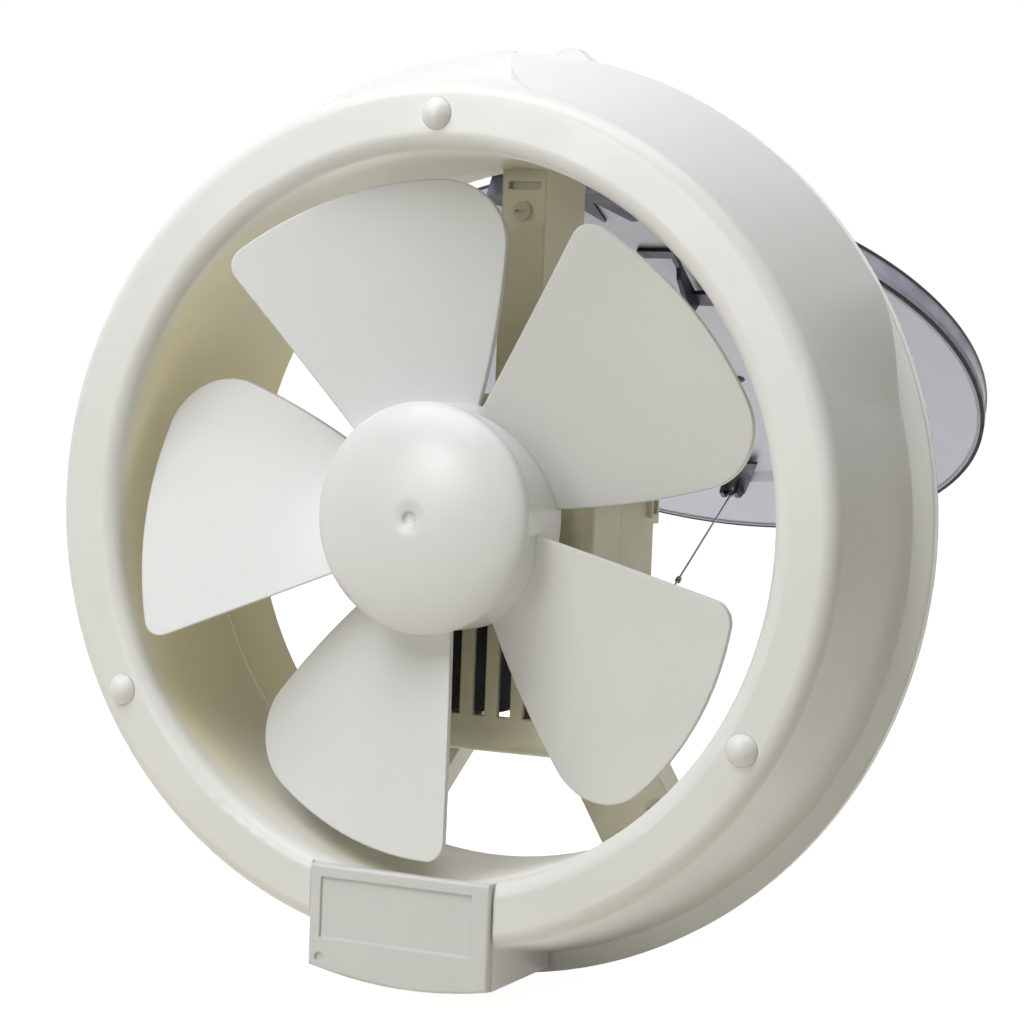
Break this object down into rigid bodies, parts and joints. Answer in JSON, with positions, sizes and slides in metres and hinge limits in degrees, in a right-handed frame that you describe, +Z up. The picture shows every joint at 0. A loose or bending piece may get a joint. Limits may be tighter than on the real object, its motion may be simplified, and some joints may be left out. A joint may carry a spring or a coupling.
{
  "type": "window exhaust fan",
  "caption": "Round window exhaust fan with a deep ivory ring casing, a broad-bladed impeller, a motor on arms and a hinged round outdoor shutter with its wire.",
  "frame": {"origin": "on the fan axis, in the plane where the casing rim meets the window glass", "axes": "+Y along the fan axis towards outdoors, +Z up, +X to the right as seen from the room"},
  "size_m": [0.2808, 0.3043, 0.2815],
  "materials": {
    "casing_plastic": "moulded ivory, glossy",
    "impeller_plastic": "moulded ivory, satin gloss",
    "motor_plastic": "moulded cream, satin",
    "rubber": "soft black",
    "screw_steel": "zinc plated",
    "motor_black": "black paint",
    "bearing_bronze": "sintered bronze",
    "lamination_steel": "stacked sheet",
    "winding_copper": "enamelled wire",
    "capacitor_black": "moulded black",
    "terminal_brown": "moulded brown",
    "dark_metal": "dark plated",
    "wire_steel": "bright wire",
    "shutter_metal": "satin sheet"
  },
  "bodies": {
    "frame": {"front_casing": "casing_plastic", "box_cover": "casing_plastic", "cord_grommet": "rubber", "screw_caps": "casing_plastic", "clamp_screws": "screw_steel", "front_gasket": "rubber", "rear_gasket": "rubber", "outdoor_frame": "casing_plastic", "clamp_ring": "casing_plastic", "motor_bracket": "motor_plastic", "arm_screws": "screw_steel", "motor_front_cover": "motor_plastic", "motor_can": "motor_black", "bearing_front": "bearing_bronze", "bearing_rear": "bearing_bronze", "stator_core": "lamination_steel", "stator_windings": "winding_copper", "capacitor": "capacitor_black", "terminal_block": "terminal_brown", "hinge_bracket": "dark_metal", "hinge_pin": "screw_steel", "wire_guide": "dark_metal", "wire_ferrule": "dark_metal", "shutter_wire": "wire_steel"},
    "fan": {"rotor_core": "lamination_steel", "motor_shaft": "screw_steel", "impeller": "impeller_plastic", "spinner": "impeller_plastic"},
    "shutter": {"shutter_disc": "shutter_metal", "shutter_seal": "rubber", "hinge_leaf": "dark_metal", "shutter_stay": "dark_metal", "shutter_rivets": "dark_metal", "wire_lug": "dark_metal"}
  },
  "joints": [
    {"name": "fan_spin", "type": "hinge", "parent": "frame", "child": "fan", "pos_m": [0, 0, 0], "axis": [0, 1, 0], "continuous": true},
    {"name": "shutter_swing", "type": "hinge", "parent": "frame", "child": "shutter", "pos_m": [0, 0.057, 0.1145], "axis": [1, 0, 0], "range_deg": [-59.1, 0], "deforming": ["shutter_wire"]}
  ]
}
